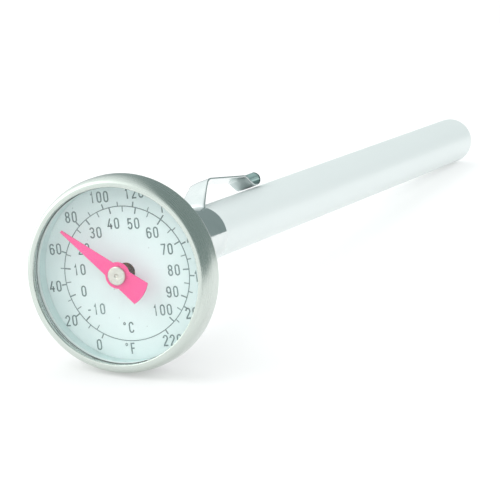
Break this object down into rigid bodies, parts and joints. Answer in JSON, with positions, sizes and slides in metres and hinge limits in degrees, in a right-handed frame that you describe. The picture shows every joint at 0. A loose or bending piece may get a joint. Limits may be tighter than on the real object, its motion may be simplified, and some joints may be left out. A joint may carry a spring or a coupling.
{
  "type": "pocket dial meat thermometer",
  "caption": "Pocket dial thermometer with a bezelled round head, bimetal stem and turning pointer, held in a slip-on sheath with a spring pocket clip.",
  "frame": {"origin": "centre of the bounding box, on the stem's axis at mid length", "axes": "+Y along the stem, from the dial to the sheath's closed tip; +Z to the dial's 12 o'clock; +X to the right seen from the dial"},
  "size_m": [0.0282, 0.1588, 0.0282],
  "materials": {
    "brushed_steel": "brushed",
    "case_steel": "satin",
    "clip_chrome": "polished",
    "stem_steel": "polished",
    "brass": "turned",
    "bimetal": "rolled",
    "lens": "clear",
    "gasket": "matte",
    "inner_ring": "satin",
    "dial_white": "matte",
    "dial_print": "matte",
    "pointer_pink": "satin",
    "boss_metal": "turned",
    "sheath_white": "gloss"
  },
  "bodies": {
    "sheath": {"sheath_tube": "sheath_white", "clip_ferrule": "clip_chrome"},
    "clip": {"pocket_clip": "clip_chrome"},
    "stem": {"stem_tube": "stem_steel", "stem_tip": "stem_steel", "calibration_nut": "case_steel", "stem_collar": "brass", "spring_washer": "stem_steel", "guide_bush_front": "brass", "guide_bush_rear": "brass", "bimetal_coil": "bimetal"},
    "head": {"case_cup": "case_steel", "bezel_ring": "brushed_steel", "lens": "lens", "lens_gasket": "gasket", "spacer_ring": "inner_ring", "dial_plate": "dial_white", "dial_support": "inner_ring"},
    "needle": {"pointer": "pointer_pink", "pointer_boss": "boss_metal", "spindle": "stem_steel", "coil_hub": "brass"}
  },
  "joints": [
    {"name": "clip_flex", "type": "hinge", "parent": "sheath", "child": "clip", "pos_m": [-0.00114, -0.04717, 0.00524], "axis": [0.969, 0.003, 0.247], "range_deg": [0, 6], "stiffness_Nm_per_rad": 0.02},
    {"name": "stem_pull", "type": "slide", "parent": "sheath", "child": "stem", "axis": [0, -1, 0], "range_m": [0, 0.13]},
    {"name": "calibration_turn", "type": "hinge", "parent": "stem", "child": "head", "pos_m": [0, -0.072, 0], "axis": [0, 1, 0], "range_deg": [-30, 30]},
    {"name": "pointer_turn", "type": "hinge", "parent": "stem", "child": "needle", "pos_m": [0, -0.0777, 0], "axis": [0, 1, 0], "range_deg": [-100.9, 199.1], "stiffness_Nm_per_rad": 0.00005, "deforming": ["bimetal_coil"]}
  ]
}
